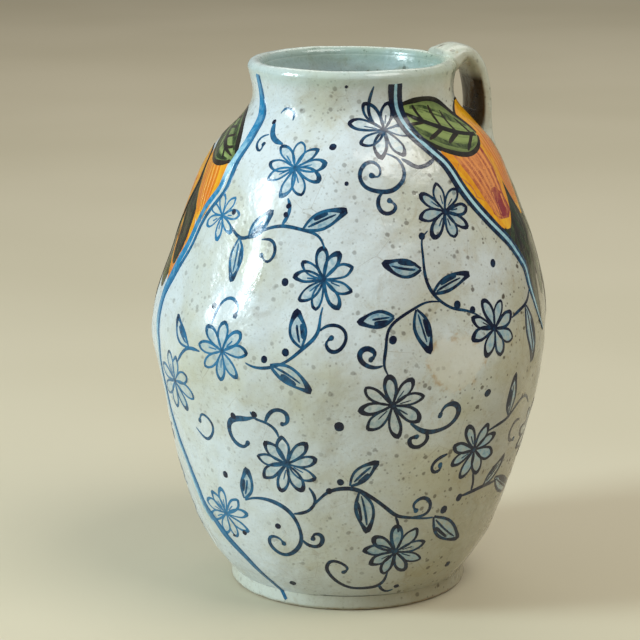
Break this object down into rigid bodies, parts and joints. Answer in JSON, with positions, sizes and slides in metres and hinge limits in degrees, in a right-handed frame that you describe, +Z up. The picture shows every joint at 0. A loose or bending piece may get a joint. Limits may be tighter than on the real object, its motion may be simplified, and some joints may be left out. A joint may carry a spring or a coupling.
{
  "type": "ceramic pitcher",
  "caption": "Glazed earthenware pitcher with a tapered belly, short neck, thick lip and small strap handle, painted with vines, flowers and fruit.",
  "frame": {"origin": "centre of the round foot, on the plane the pitcher stands on", "axes": "+Z up the pitcher's axis towards the mouth, +X from the axis towards the handle"},
  "size_m": [0.1644, 0.1644, 0.2241],
  "materials": {
    "body_glaze": "glossy off-white tin glaze with stains, specks and fine crackle",
    "handle_glaze": "plain glossy grey-white glaze",
    "foot_glaze": "thin worn glaze over the turned foot",
    "bare_clay": "matt unglazed biscuit",
    "cobalt_paint": "dark blue brushwork under a clear glaze",
    "pale_blue_wash": "thin watery blue wash under a clear glaze",
    "yellow_paint": "yellow to orange fruit colour under a clear glaze",
    "green_paint": "olive and dark green leaf colour under a clear glaze",
    "brown_paint": "brown-black outlines under a clear glaze",
    "rose_paint": "salmon and rose streaks under a clear glaze"
  },
  "bodies": {
    "root": {"floor_disc": "bare_clay", "foot_ring": "foot_glaze", "lower_body": "body_glaze", "upper_body": "body_glaze", "neck_collar": "body_glaze", "rim_roll": "body_glaze", "handle_strap": "handle_glaze", "handle_upper_luting": "handle_glaze", "handle_lower_luting": "handle_glaze"}
  },
  "joints": []
}
